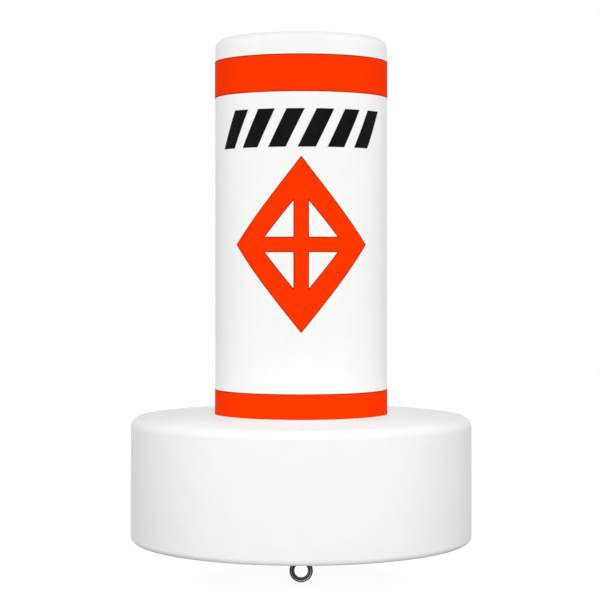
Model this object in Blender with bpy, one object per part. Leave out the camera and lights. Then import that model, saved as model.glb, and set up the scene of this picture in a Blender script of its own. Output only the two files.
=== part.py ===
"""Float collar buoy: a moulded column clamped in a float collar, its markings and its mooring eye.

Units are metres and +Z is up. The origin is the centre of the mooring eye, the buoy's axis is +Z,
and the front markings face -Y. Radii and heights of turned pieces are written as (radius, height).
"""

import math
from collections import namedtuple

import bmesh
import bpy
from mathutils import Matrix

Finish = namedtuple("Finish", "colour roughness metallic")

# Finishes, with linear colours
WHITE_POLYETHYLENE = Finish((0.86, 0.86, 0.85), 0.40, 0.0)
GREY_POLYETHYLENE = Finish((0.30, 0.31, 0.32), 0.45, 0.0)
ORANGE_TAPE = Finish((1.0, 0.04, 0.0), 0.30, 0.0)
BLACK_VINYL = Finish((0.012, 0.012, 0.013), 0.40, 0.0)
RIGID_FOAM = Finish((0.72, 0.55, 0.28), 0.90, 0.0)
CONCRETE = Finish((0.34, 0.33, 0.31), 0.90, 0.0)
SEALING_RUBBER = Finish((0.02, 0.02, 0.02), 0.80, 0.0)
GALVANISED_STEEL = Finish((0.52, 0.53, 0.55), 0.45, 1.0)
FORGED_STEEL = Finish((0.16, 0.16, 0.17), 0.35, 1.0)

# Fits
SEAT_GAP = 0.0003  # between faces that bear on each other
THREAD_GAP = 0.0003  # between a thread and what it runs in
BOLT_HOLE_CLEARANCE = 0.0008  # beside a shank in a drilled hole
BORE_CLEARANCE = 0.0006  # between the spigot and the collar's bore
SEAT_SIDE_CLEARANCE = 0.0008  # between the taped column and the wall of its seat

# Mooring eye and what is threaded on its shank
EYE_HOLE_RADIUS = 0.0139
EYE_STOCK_DIAMETER = 0.0105
EYE_NECK_LENGTH = 0.0116  # from the ring to the lock nut
EYE_BOSS_RADIUS = 0.0085
SHANK_DIAMETER = 0.012
SHANK_TAIL = 0.005  # past the anchor nut
SHANK_NUT_WIDTH = 0.019  # across the flats
SHANK_END_CHAMFER = 0.001
LOCK_NUT_HEIGHT = 0.006
CLAMP_NUT_HEIGHT = 0.010
ANCHOR_NUT_HEIGHT = 0.010
EYE_WASHER_RADIUS = 0.022
EYE_WASHER_THICKNESS = 0.003
ANCHOR_PLATE_RADIUS = 0.060
ANCHOR_PLATE_THICKNESS = 0.006

# Base plate, gasket and the bolts that hold them
BASE_PLATE_THICKNESS = 0.006
GASKET_THICKNESS = 0.003
PLATE_MARGIN = 0.020  # from the bolt circle to the plate's edge
BOLT_COUNT = 4
BOLT_FIRST_ANGLE = 45.0  # degrees from +X
BOLT_INSET = 0.0194  # from the collar's bore to the bolt circle
BOLT_DIAMETER = 0.010
BOLT_HEAD_WIDTH = 0.017  # across the flats
BOLT_HEAD_HEIGHT = 0.0064
BOLT_ENGAGEMENT = 0.014  # length of the bolt in its insert
BOLT_END_CHAMFER = 0.001
BOLT_WASHER_RADIUS = 0.010
BOLT_WASHER_THICKNESS = 0.002
INSERT_WALL = 0.003
INSERT_FLOOR = 0.003  # closed end of the insert
INSERT_SPARE_DEPTH = 0.003  # hole left past the end of the bolt

# Collar
COLLAR_RADIUS = 0.3522
COLLAR_HEIGHT = 0.2556  # underside to the inner end of the rounded rim
COLLAR_CROWN = 0.0063  # rise of the top from there to the seat
COLLAR_WALL = 0.0065
COLLAR_TOP_ROUND = 0.019
COLLAR_FOOT_ROUND = 0.012
SEAT_DEPTH = 0.0277
SEAT_LIP_ROUND = 0.002

# Collar plugs
FILL_PORT_ANGLE = 90.0  # degrees from +X, with the vent opposite
FILL_PLUG_RADIUS = 0.025
VENT_PLUG_RADIUS = 0.010
PLUG_FLANGE_WIDTH = 0.007
PLUG_FLANGE_THICKNESS = 0.005
PLUG_GRIP_DEPTH = 0.003  # of the hollow that takes the key
PLUG_GRIP_SHARE = 0.6  # of the plug's radius

# Column
COLUMN_RADIUS = 0.1778
COLUMN_LENGTH = 0.7982  # shoulder to top
COLUMN_WALL = 0.006
COLUMN_TOP_ROUND = 0.018
COLUMN_EDGE_CHAMFER = 0.002  # at the shoulder and at the spigot's foot
SPIGOT_RADIUS = 0.150
SPIGOT_LIP_WIDTH = 0.019  # inward flange that carries the ballast
FOOT_RECESS = 0.003  # spigot's foot above the collar's underside
BALLAST_DEPTH = 0.100

# Markings, measured round and down the column
TAPE_THICKNESS = 0.0005
BAND_WIDTH = 0.075
UPPER_BAND_DROP = 0.0458  # top of the column to the upper edge
LOWER_BAND_LIFT = 0.003  # shoulder to the lower edge
DIAMOND_DROP = 0.4237  # top of the column to the diamond's centre
DIAMOND_HALF_WIDTH = 0.1445
DIAMOND_HALF_HEIGHT = 0.1759
DIAMOND_BORDER = 0.0447
DIAMOND_CROSS_WIDTH = 0.031
MARK_DROP = 0.1541  # top of the column to the top of the bars
MARK_HEIGHT = 0.0761
MARK_ROW_LENGTH = 0.374
MARK_BAR_WIDTH = 0.036
MARK_BAR_SLANT = 0.038  # sideways run from a bar's foot to its head
MARK_BAR_COUNT = 6

# Facets
TURN_STEPS = 64  # column, collar and what follows their walls
FILL_STEPS = 32  # foam and ballast in the column, plates
RING_STEPS = 32  # round the mooring eye
SMALL_STEPS = 12  # fasteners
STOCK_STEPS = 12  # round the eye's section
ROUND_STEPS = 4  # in an outer rounded edge
INNER_ROUND_STEPS = 2  # in a small or hidden rounded edge
WELD_DISTANCE = 0.000001
SHARP_ANGLE = math.radians(30.0)

# Heights, from the eye upwards
EYE_OUTER_RADIUS = EYE_HOLE_RADIUS + EYE_STOCK_DIAMETER
LOCK_NUT_BOTTOM = EYE_OUTER_RADIUS + EYE_NECK_LENGTH
CLAMP_NUT_BOTTOM = LOCK_NUT_BOTTOM + LOCK_NUT_HEIGHT + SEAT_GAP
EYE_WASHER_BOTTOM = CLAMP_NUT_BOTTOM + CLAMP_NUT_HEIGHT + SEAT_GAP
PLATE_BOTTOM = EYE_WASHER_BOTTOM + EYE_WASHER_THICKNESS + SEAT_GAP
GASKET_BOTTOM = PLATE_BOTTOM + BASE_PLATE_THICKNESS + SEAT_GAP
UNDERSIDE = GASKET_BOTTOM + GASKET_THICKNESS + SEAT_GAP
SHOULDER = UNDERSIDE + COLLAR_HEIGHT + COLLAR_CROWN - SEAT_DEPTH + SEAT_GAP
COLUMN_TOP = SHOULDER + COLUMN_LENGTH
SPIGOT_FOOT = UNDERSIDE + FOOT_RECESS
BALLAST_TOP = SPIGOT_FOOT + BALLAST_DEPTH
ANCHOR_PLATE_BOTTOM = BALLAST_TOP + SEAT_GAP
ANCHOR_NUT_BOTTOM = ANCHOR_PLATE_BOTTOM + ANCHOR_PLATE_THICKNESS + SEAT_GAP
SHANK_TOP = ANCHOR_NUT_BOTTOM + ANCHOR_NUT_HEIGHT + SHANK_TAIL

# Radii that follow from the fits
SHANK_RADIUS = SHANK_DIAMETER / 2
SHANK_HOLE_RADIUS = SHANK_RADIUS + BOLT_HOLE_CLEARANCE
BOLT_RADIUS = BOLT_DIAMETER / 2
BOLT_HOLE_RADIUS = BOLT_RADIUS + BOLT_HOLE_CLEARANCE
INSERT_RADIUS = BOLT_RADIUS + THREAD_GAP + INSERT_WALL
INSERT_LENGTH = BOLT_ENGAGEMENT + INSERT_SPARE_DEPTH + INSERT_FLOOR
TAPE_RADIUS = COLUMN_RADIUS + SEAT_GAP
SEAT_RADIUS = TAPE_RADIUS + TAPE_THICKNESS + SEAT_SIDE_CLEARANCE
BORE_RADIUS = SPIGOT_RADIUS + BORE_CLEARANCE
BOLT_CIRCLE_RADIUS = BORE_RADIUS + BOLT_INSET
BASE_PLATE_RADIUS = BOLT_CIRCLE_RADIUS + PLATE_MARGIN
PORT_CIRCLE_RADIUS = (BASE_PLATE_RADIUS + COLLAR_RADIUS - COLLAR_FOOT_ROUND) / 2
MOUTH_RADIUS = SPIGOT_RADIUS - COLUMN_WALL - SPIGOT_LIP_WIDTH
COLUMN_INNER_RADIUS = COLUMN_RADIUS - COLUMN_WALL
SPIGOT_INNER_RADIUS = SPIGOT_RADIUS - COLUMN_WALL


def clear_scene():
    """Remove whatever objects the file was opened with."""
    for obj in list(bpy.data.objects):
        bpy.data.objects.remove(obj, do_unlink=True)


def add_object(name, bm, finish):
    """Turn a bmesh into a named object with its own material, parented to the buoy's empty."""
    mesh = bpy.data.meshes.new(name)
    bm.to_mesh(mesh)
    bm.free()
    mesh.shade_smooth()
    mesh.set_sharp_from_angle(angle=SHARP_ANGLE)
    mesh.materials.append(new_material(name, finish))
    return add_mesh(name, mesh)


def add_mesh(name, mesh):
    """Place a mesh in the scene as a named object of the buoy."""
    obj = bpy.data.objects.new(name, mesh)
    bpy.context.scene.collection.objects.link(obj)
    obj.parent = bpy.data.objects["buoy"]
    return obj


def new_material(name, finish):
    """A Principled BSDF with the finish's colour, roughness and metallic value."""
    material = bpy.data.materials.new(name)
    material.use_nodes = True
    shader = material.node_tree.nodes["Principled BSDF"]
    shader.inputs["Base Color"].default_value = (*finish.colour, 1.0)
    shader.inputs["Roughness"].default_value = finish.roughness
    shader.inputs["Metallic"].default_value = finish.metallic
    material.diffuse_color = (*finish.colour, 1.0)
    return material


def arc(centre, radius, start, end, steps):
    """Points (radius, height) on an arc between two angles in degrees, both ends included."""
    points = []
    for step in range(steps + 1):
        angle = math.radians(start + (end - start) * step / steps)
        points.append((centre[0] + radius * math.cos(angle), centre[1] + radius * math.sin(angle)))
    return points


def turned(name, profile, finish, steps=TURN_STEPS):
    """A solid of revolution about its own Z axis.

    A profile that begins and ends on the axis stays open there, and any other one is closed.
    """
    bm = bmesh.new()
    verts = [bm.verts.new((radius, 0.0, height)) for radius, height in profile]
    edges = [bm.edges.new(pair) for pair in zip(verts, verts[1:])]
    if profile[0][0] > 0.0:
        edges.append(bm.edges.new((verts[-1], verts[0])))
    bmesh.ops.spin(
        bm,
        geom=verts + edges,
        cent=(0.0, 0.0, 0.0),
        axis=(0.0, 0.0, 1.0),
        angle=math.tau,
        steps=steps,
        use_merge=True,
    )
    bmesh.ops.remove_doubles(bm, verts=bm.verts, dist=WELD_DISTANCE)
    bmesh.ops.recalc_face_normals(bm, faces=bm.faces)
    return add_object(name, bm, finish)


def washer(name, radius, hole_radius, thickness, finish, steps=SMALL_STEPS):
    """A flat ring standing on its own origin."""
    profile = [(hole_radius, thickness), (radius, thickness), (radius, 0.0), (hole_radius, 0.0)]
    return turned(name, profile, finish, steps)


def combine(target, tool, operation="DIFFERENCE"):
    """Combine a hidden tool with a target by an exact Boolean, which cuts unless told otherwise."""
    modifier = target.modifiers.new(tool.name, "BOOLEAN")
    modifier.operation = operation
    modifier.solver = "EXACT"
    modifier.object = tool
    tool.hide_render = True
    tool.display_type = "WIRE"


def half_facet(steps):
    """Half the angle of one facet, by which holes are turned so that no corner is on a radial edge."""
    return math.pi / steps


def drill(name, holes, bottom, top):
    """A cutter of upright cylinders, one for each hole (centre, radius, facets)."""
    bm = bmesh.new()
    for centre, radius, steps in holes:
        made = bmesh.ops.create_cone(
            bm,
            cap_ends=True,
            segments=steps,
            radius1=radius,
            radius2=radius,
            depth=top - bottom,
            matrix=Matrix.Rotation(half_facet(steps), 4, "Z"),
        )
        bmesh.ops.translate(bm, verts=made["verts"], vec=(*centre, (top + bottom) / 2))
    return add_object(name, bm, GREY_POLYETHYLENE)


def hexagon_blank(name, width, height, finish):
    """A hexagonal bar with its corners turned off at both ends, standing on its own origin."""
    corner_radius = width / math.sqrt(3.0)
    chamfer = corner_radius - width / 2
    bm = bmesh.new()
    bmesh.ops.create_cone(
        bm,
        cap_ends=True,
        segments=6,
        radius1=corner_radius,
        radius2=corner_radius,
        depth=height,
    )
    bmesh.ops.translate(bm, verts=bm.verts, vec=(0.0, 0.0, height / 2))
    blank = add_object(name, bm, finish)
    barrel = [
        (0.0, height + chamfer),
        (width / 2, height + chamfer),
        (width / 2, height),
        (corner_radius + chamfer, height - chamfer),
        (corner_radius + chamfer, chamfer),
        (width / 2, 0.0),
        (width / 2, -chamfer),
        (0.0, -chamfer),
    ]
    combine(blank, turned(f"{name}_barrel", barrel, finish, SMALL_STEPS), "INTERSECT")
    return blank


def baked(obj):
    """A plain mesh of an object with its modifiers applied, which copies can share."""
    bpy.context.view_layer.update()
    evaluated = obj.evaluated_get(bpy.context.evaluated_depsgraph_get())
    return bpy.data.meshes.new_from_object(evaluated)


def remove_with_tools(obj):
    """Remove a pattern object and the hidden tools of its modifiers."""
    tools = [modifier.object for modifier in obj.modifiers]
    for tool in tools:
        bpy.data.objects.remove(tool, do_unlink=True)
    bpy.data.objects.remove(obj, do_unlink=True)


def on_circle(radius, count, first_angle):
    """Points (x, y) spaced evenly on a circle, from an angle in degrees."""
    angles = [math.radians(first_angle + 360.0 * index / count) for index in range(count)]
    return [(radius * math.cos(angle), radius * math.sin(angle)) for angle in angles]


BOLT_CENTRES = on_circle(BOLT_CIRCLE_RADIUS, BOLT_COUNT, BOLT_FIRST_ANGLE)
FILL_PORT, VENT_PORT = on_circle(PORT_CIRCLE_RADIUS, 2, FILL_PORT_ANGLE)


def collar_cavity(inset):
    """Closed profile of the hollow in the collar, drawn in by an inset from its walls."""
    wall = COLLAR_WALL + inset
    rim_round = COLLAR_TOP_ROUND - wall
    foot_round = COLLAR_FOOT_ROUND - wall
    outer = COLLAR_RADIUS - wall
    rim_height = COLLAR_HEIGHT - wall
    seat_wall = SEAT_RADIUS + wall
    seat_floor = COLLAR_HEIGHT + COLLAR_CROWN - SEAT_DEPTH - wall
    bore_wall = BORE_RADIUS + wall
    return [
        (bore_wall, wall),
        (outer - foot_round, wall),
        (outer, wall + foot_round),
        *arc((outer - rim_round, rim_height - rim_round), rim_round, 0.0, 90.0, INNER_ROUND_STEPS),
        (seat_wall, COLLAR_HEIGHT + COLLAR_CROWN - wall),
        (seat_wall, seat_floor),
        (bore_wall, seat_floor),
    ]


def build_collar():
    """The collar's moulded shell, its foam and the two plugs, all standing on its underside."""
    top = COLLAR_HEIGHT + COLLAR_CROWN
    rim_centre = (COLLAR_RADIUS - COLLAR_TOP_ROUND, COLLAR_HEIGHT - COLLAR_TOP_ROUND)
    foot_centre = (COLLAR_RADIUS - COLLAR_FOOT_ROUND, COLLAR_FOOT_ROUND)
    lip_centre = (SEAT_RADIUS + SEAT_LIP_ROUND, top - SEAT_LIP_ROUND)
    outside = [
        (BORE_RADIUS, 0.0),
        *arc(foot_centre, COLLAR_FOOT_ROUND, -90.0, 0.0, ROUND_STEPS),
        *arc(rim_centre, COLLAR_TOP_ROUND, 0.0, 90.0, ROUND_STEPS),
        *arc(lip_centre, SEAT_LIP_ROUND, 90.0, 180.0, INNER_ROUND_STEPS),
        (SEAT_RADIUS, top - SEAT_DEPTH),
        (BORE_RADIUS, top - SEAT_DEPTH),
    ]
    shell = turned("collar_shell", outside, WHITE_POLYETHYLENE)
    shell.location.z = UNDERSIDE
    insert_holes = [(centre, INSERT_RADIUS + SEAT_GAP, SMALL_STEPS) for centre in BOLT_CENTRES]
    ports = [
        (FILL_PORT, FILL_PLUG_RADIUS + THREAD_GAP, FILL_STEPS),
        (VENT_PORT, VENT_PLUG_RADIUS + THREAD_GAP, SMALL_STEPS),
    ]
    openings = drill("collar_openings", insert_holes + ports, -COLLAR_WALL, 2 * COLLAR_WALL)
    hollow = turned("collar_hollow", collar_cavity(0.0), WHITE_POLYETHYLENE)
    for tool in (openings, hollow):
        tool.location.z = UNDERSIDE
        combine(shell, tool)

    foam = turned("collar_foam", collar_cavity(SEAT_GAP), RIGID_FOAM)
    foam.location.z = UNDERSIDE
    pockets = drill("insert_pockets", insert_holes, 0.0, INSERT_LENGTH + SEAT_GAP)
    pockets.location.z = UNDERSIDE
    combine(foam, pockets)

    build_plug("collar_fill_plug", FILL_PLUG_RADIUS, FILL_PORT, FILL_STEPS)
    build_plug("collar_vent_plug", VENT_PLUG_RADIUS, VENT_PORT, SMALL_STEPS)


def build_plug(name, radius, port, steps):
    """A threaded plug in a port of the collar's underside, with a hollow for its key."""
    flange_radius = radius + PLUG_FLANGE_WIDTH
    flange_top = -SEAT_GAP
    flange_bottom = flange_top - PLUG_FLANGE_THICKNESS
    grip_radius = PLUG_GRIP_SHARE * radius
    profile = [
        (0.0, COLLAR_WALL),
        (radius, COLLAR_WALL),
        (radius, flange_top),
        (flange_radius, flange_top),
        (flange_radius, flange_bottom),
        (grip_radius, flange_bottom),
        (grip_radius, flange_bottom + PLUG_GRIP_DEPTH),
        (0.0, flange_bottom + PLUG_GRIP_DEPTH),
    ]
    plug = turned(name, profile, GREY_POLYETHYLENE, steps)
    plug.location = (*port, UNDERSIDE)
    plug.rotation_euler.z = half_facet(steps)


def build_column():
    """The column's moulded shell with its foam and ballast, all standing on its shoulder."""
    foot = SPIGOT_FOOT - SHOULDER
    top_centre = (COLUMN_RADIUS - COLUMN_TOP_ROUND, COLUMN_LENGTH - COLUMN_TOP_ROUND)
    inner_round = COLUMN_TOP_ROUND - COLUMN_WALL
    inner_top = COLUMN_LENGTH - COLUMN_WALL
    inner_centre = (COLUMN_INNER_RADIUS - inner_round, inner_top - inner_round)
    outside = [
        (0.0, COLUMN_LENGTH),
        *arc(top_centre, COLUMN_TOP_ROUND, 90.0, 0.0, ROUND_STEPS),
        (COLUMN_RADIUS, COLUMN_EDGE_CHAMFER),
        (COLUMN_RADIUS - COLUMN_EDGE_CHAMFER, 0.0),
        (SPIGOT_RADIUS, 0.0),
        (SPIGOT_RADIUS, foot + COLUMN_EDGE_CHAMFER),
        (SPIGOT_RADIUS - COLUMN_EDGE_CHAMFER, foot),
        (MOUTH_RADIUS, foot),
    ]
    inside = [
        (MOUTH_RADIUS, foot + COLUMN_WALL),
        (SPIGOT_INNER_RADIUS, foot + COLUMN_WALL),
        (SPIGOT_INNER_RADIUS, COLUMN_WALL),
        (COLUMN_INNER_RADIUS, COLUMN_WALL),
        *arc(inner_centre, inner_round, 0.0, 90.0, INNER_ROUND_STEPS),
        (0.0, inner_top),
    ]
    shell = turned("column_shell", outside + inside, WHITE_POLYETHYLENE)
    shell.location.z = SHOULDER

    ballast_radius = SPIGOT_INNER_RADIUS - SEAT_GAP
    ballast_foot_radius = MOUTH_RADIUS - SEAT_GAP
    ballast_seat = foot + COLUMN_WALL + SEAT_GAP
    ballast_top = BALLAST_TOP - SHOULDER
    ballast_profile = [
        (SHANK_HOLE_RADIUS, ballast_top),
        (ballast_radius, ballast_top),
        (ballast_radius, ballast_seat),
        (ballast_foot_radius, ballast_seat),
        (ballast_foot_radius, foot),
        (SHANK_HOLE_RADIUS, foot),
    ]
    ballast = turned("column_ballast", ballast_profile, CONCRETE, FILL_STEPS)
    ballast.location.z = SHOULDER

    foam_bottom = ballast_top + SEAT_GAP
    plate_pocket = ANCHOR_NUT_BOTTOM - SHOULDER
    nut_pocket = SHANK_TOP + SEAT_GAP - SHOULDER
    nut_pocket_radius = SHANK_NUT_WIDTH / math.sqrt(3.0) + BOLT_HOLE_CLEARANCE
    foam_profile = [
        (0.0, inner_top - SEAT_GAP),
        *arc(inner_centre, inner_round - SEAT_GAP, 90.0, 0.0, INNER_ROUND_STEPS),
        (COLUMN_INNER_RADIUS - SEAT_GAP, COLUMN_WALL + SEAT_GAP),
        (SPIGOT_INNER_RADIUS - SEAT_GAP, COLUMN_WALL + SEAT_GAP),
        (SPIGOT_INNER_RADIUS - SEAT_GAP, foam_bottom),
        (ANCHOR_PLATE_RADIUS + SEAT_GAP, foam_bottom),
        (ANCHOR_PLATE_RADIUS + SEAT_GAP, plate_pocket),
        (nut_pocket_radius, plate_pocket),
        (nut_pocket_radius, nut_pocket),
        (0.0, nut_pocket),
    ]
    foam = turned("column_foam", foam_profile, RIGID_FOAM, FILL_STEPS)
    foam.location.z = SHOULDER


def build_eye():
    """The mooring eye: a ring round the Y axis and a shank that runs up to the anchor nut."""
    stock_radius = EYE_STOCK_DIAMETER / 2
    ring_radius = EYE_HOLE_RADIUS + stock_radius
    bm = bmesh.new()
    section = bmesh.ops.create_circle(bm, cap_ends=False, segments=STOCK_STEPS, radius=stock_radius)
    bmesh.ops.translate(bm, verts=section["verts"], vec=(ring_radius, 0.0, 0.0))
    bmesh.ops.spin(
        bm,
        geom=bm.verts[:] + bm.edges[:],
        cent=(0.0, 0.0, 0.0),
        axis=(0.0, 1.0, 0.0),
        angle=math.tau,
        steps=RING_STEPS,
        use_merge=True,
    )
    bmesh.ops.recalc_face_normals(bm, faces=bm.faces)
    eye = add_object("mooring_eye", bm, FORGED_STEEL)
    boss_top = EYE_OUTER_RADIUS + EYE_NECK_LENGTH / 2
    shank_profile = [
        (0.0, SHANK_TOP),
        (SHANK_RADIUS - SHANK_END_CHAMFER, SHANK_TOP),
        (SHANK_RADIUS, SHANK_TOP - SHANK_END_CHAMFER),
        (SHANK_RADIUS, boss_top),
        (EYE_BOSS_RADIUS, EYE_OUTER_RADIUS),
        (stock_radius, ring_radius),
        (0.0, ring_radius),
    ]
    combine(eye, turned("eye_shank", shank_profile, FORGED_STEEL, SMALL_STEPS), "UNION")


def build_nut(name, bottom, height):
    """A hexagon nut on the eye's shank."""
    nut = hexagon_blank(name, SHANK_NUT_WIDTH, height, GALVANISED_STEEL)
    bore = [((0.0, 0.0), SHANK_RADIUS + THREAD_GAP, SMALL_STEPS)]
    combine(nut, drill(f"{name}_bore", bore, -height, 2 * height))
    for obj in [nut] + [modifier.object for modifier in nut.modifiers]:
        obj.location.z = bottom


def build_shank_stack():
    """What the eye's shank carries: two nuts and a washer below, a plate and a nut in the foam."""
    build_nut("lock_nut", LOCK_NUT_BOTTOM, LOCK_NUT_HEIGHT)
    build_nut("clamp_nut", CLAMP_NUT_BOTTOM, CLAMP_NUT_HEIGHT)
    build_nut("anchor_nut", ANCHOR_NUT_BOTTOM, ANCHOR_NUT_HEIGHT)
    rings = (
        ("eye_washer", EYE_WASHER_RADIUS, EYE_WASHER_THICKNESS, EYE_WASHER_BOTTOM),
        ("anchor_plate", ANCHOR_PLATE_RADIUS, ANCHOR_PLATE_THICKNESS, ANCHOR_PLATE_BOTTOM),
    )
    for name, radius, thickness, bottom in rings:
        ring = washer(name, radius, SHANK_HOLE_RADIUS, thickness, GALVANISED_STEEL, FILL_STEPS)
        ring.location.z = bottom


def build_base():
    """The gasket and the plate under the collar, drilled for the bolts and for the eye's shank."""
    sheets = (
        ("base_gasket", GASKET_BOTTOM, GASKET_THICKNESS, SEALING_RUBBER),
        ("base_plate", PLATE_BOTTOM, BASE_PLATE_THICKNESS, GALVANISED_STEEL),
    )
    holes = [(centre, BOLT_HOLE_RADIUS, SMALL_STEPS) for centre in BOLT_CENTRES]
    for name, bottom, thickness, finish in sheets:
        sheet = washer(name, BASE_PLATE_RADIUS, SHANK_HOLE_RADIUS, thickness, finish, FILL_STEPS)
        tool = drill(f"{name}_holes", holes, -thickness, 2 * thickness)
        combine(sheet, tool)
        for obj in (sheet, tool):
            obj.location.z = bottom


def build_bolts():
    """The bolts that hold the plate, each with its washer and the insert moulded in the collar."""
    washer_bottom = PLATE_BOTTOM - SEAT_GAP - BOLT_WASHER_THICKNESS
    head_top = washer_bottom - SEAT_GAP
    head_bottom = head_top - BOLT_HEAD_HEIGHT
    bolt_length = UNDERSIDE + BOLT_ENGAGEMENT - head_bottom

    pattern = hexagon_blank("bolt_pattern", BOLT_HEAD_WIDTH, BOLT_HEAD_HEIGHT, GALVANISED_STEEL)
    shank_profile = [
        (0.0, bolt_length),
        (BOLT_RADIUS - BOLT_END_CHAMFER, bolt_length),
        (BOLT_RADIUS, bolt_length - BOLT_END_CHAMFER),
        (BOLT_RADIUS, BOLT_HEAD_HEIGHT / 2),
        (0.0, BOLT_HEAD_HEIGHT / 2),
    ]
    shank = turned("bolt_shank", shank_profile, GALVANISED_STEEL, SMALL_STEPS)
    combine(pattern, shank, "UNION")
    bolt_mesh = baked(pattern)
    remove_with_tools(pattern)

    insert_profile = [
        (0.0, INSERT_LENGTH),
        (INSERT_RADIUS, INSERT_LENGTH),
        (INSERT_RADIUS, 0.0),
        (BOLT_RADIUS + THREAD_GAP, 0.0),
        (BOLT_RADIUS + THREAD_GAP, INSERT_LENGTH - INSERT_FLOOR),
        (0.0, INSERT_LENGTH - INSERT_FLOOR),
    ]
    first_washer = washer(
        "plate_washer_1",
        BOLT_WASHER_RADIUS,
        BOLT_HOLE_RADIUS,
        BOLT_WASHER_THICKNESS,
        GALVANISED_STEEL,
    )
    first_insert = turned("threaded_insert_1", insert_profile, GALVANISED_STEEL, SMALL_STEPS)
    for index, centre in enumerate(BOLT_CENTRES, start=1):
        bolt = add_mesh(f"plate_bolt_{index}", bolt_mesh)
        bolt.location = (*centre, head_bottom)
        ring = first_washer if index == 1 else add_mesh(f"plate_washer_{index}", first_washer.data)
        ring.location = (*centre, washer_bottom)
        insert = first_insert
        if index > 1:
            insert = add_mesh(f"threaded_insert_{index}", first_insert.data)
        insert.location = (*centre, UNDERSIDE)
        for obj in (bolt, insert):
            obj.rotation_euler.z = half_facet(SMALL_STEPS)


def build_band(name, bottom):
    """An orange band wrapped round the column."""
    band = washer(
        name, TAPE_RADIUS + TAPE_THICKNESS, TAPE_RADIUS, BAND_WIDTH, ORANGE_TAPE, TURN_STEPS
    )
    band.location.z = bottom


def wrapped_tape(name, outlines, height, faces_rear, finish):
    """Tape cut along flat outlines (run, rise) and wrapped on the column, facing -Y or +Y.

    The first outline is the tape's edge and the others are windows in it. The flat tape is
    slit into strips as wide as the column's facets, thickened and bent round the axis.
    """
    bm = bmesh.new()
    edges = []
    for outline in outlines:
        verts = [bm.verts.new((run, 0.0, rise)) for run, rise in outline]
        edges += [bm.edges.new(pair) for pair in zip(verts, verts[1:] + verts[:1])]
    bmesh.ops.triangle_fill(bm, use_beauty=True, use_dissolve=False, edges=edges)
    facet_arc = math.tau * COLUMN_RADIUS / TURN_STEPS
    first = math.ceil(min(run for run, _ in outlines[0]) / facet_arc)
    last = math.floor(max(run for run, _ in outlines[0]) / facet_arc)
    for facet in range(first, last + 1):
        bmesh.ops.bisect_plane(
            bm,
            geom=bm.verts[:] + bm.edges[:] + bm.faces[:],
            dist=WELD_DISTANCE,
            plane_co=(facet * facet_arc, 0.0, 0.0),
            plane_no=(1.0, 0.0, 0.0),
        )
    skin = bmesh.ops.extrude_face_region(bm, geom=bm.faces[:])
    outer = [item for item in skin["geom"] if isinstance(item, bmesh.types.BMVert)]
    bmesh.ops.translate(bm, verts=outer, vec=(0.0, -TAPE_THICKNESS, 0.0))
    bmesh.ops.recalc_face_normals(bm, faces=bm.faces)
    for vert in bm.verts:
        angle = vert.co.x / COLUMN_RADIUS
        radius = TAPE_RADIUS - vert.co.y
        vert.co.x = radius * math.sin(angle)
        vert.co.y = -radius * math.cos(angle)
    tape = add_object(name, bm, finish)
    tape.location.z = height
    tape.rotation_euler.z = math.pi if faces_rear else 0.0


def diamond_outlines():
    """The diamond's edge and the four windows that its border and its upright cross leave."""
    width = DIAMOND_HALF_WIDTH
    height = DIAMOND_HALF_HEIGHT
    edge_distance = width * height / math.hypot(width, height)
    inner_share = 1.0 - DIAMOND_BORDER / edge_distance
    inner_width = inner_share * width
    inner_height = inner_share * height
    bar = DIAMOND_CROSS_WIDTH / 2
    reach = inner_width * (1.0 - bar / inner_height)
    rise = inner_height * (1.0 - bar / inner_width)
    outlines = [[(0.0, height), (width, 0.0), (0.0, -height), (-width, 0.0)]]
    for side in (1.0, -1.0):
        for end in (1.0, -1.0):
            window = [(side * bar, end * bar), (side * reach, end * bar), (side * bar, end * rise)]
            outlines.append(window)
    return outlines


def bar_outline(index):
    """One slanted bar of the marking row, with the row centred on the front."""
    pitch = (MARK_ROW_LENGTH - MARK_BAR_WIDTH - MARK_BAR_SLANT) / (MARK_BAR_COUNT - 1)
    foot = index * pitch - MARK_ROW_LENGTH / 2
    head = foot + MARK_BAR_SLANT
    return [
        (foot, 0.0),
        (foot + MARK_BAR_WIDTH, 0.0),
        (head + MARK_BAR_WIDTH, MARK_HEIGHT),
        (head, MARK_HEIGHT),
    ]


def build_markings():
    """The two bands, and on the front and the rear a diamond below a row of slanted bars."""
    build_band("upper_band", COLUMN_TOP - UPPER_BAND_DROP - BAND_WIDTH)
    build_band("lower_band", SHOULDER + LOWER_BAND_LIFT)
    for side, faces_rear in (("front", False), ("rear", True)):
        diamond_height = COLUMN_TOP - DIAMOND_DROP
        wrapped_tape(f"diamond_{side}", diamond_outlines(), diamond_height, faces_rear, ORANGE_TAPE)
        bar_height = COLUMN_TOP - MARK_DROP - MARK_HEIGHT
        for index in range(MARK_BAR_COUNT):
            name = f"mark_bar_{side}_{index + 1}"
            wrapped_tape(name, [bar_outline(index)], bar_height, faces_rear, BLACK_VINYL)


def main():
    clear_scene()
    buoy = bpy.data.objects.new("buoy", None)
    bpy.context.scene.collection.objects.link(buoy)
    build_collar()
    build_column()
    build_eye()
    build_shank_stack()
    build_base()
    build_bolts()
    build_markings()


main()
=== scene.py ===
"""Looks of a float collar buoy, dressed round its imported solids.

Units are metres and +Z is up. The origin is the centre of the mooring eye, and the front faces -Y.
A turned piece is drawn as a list of points (radius, height).
"""

import functools
import logging
import math
from collections.abc import Sequence
from dataclasses import dataclass
from enum import Enum

import bmesh
import bpy
from bmesh.types import BMesh, BMVert
from bpy.types import ID, Material, Mesh, Node, NodeSocket, Object
from mathutils import Matrix, Vector


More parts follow.
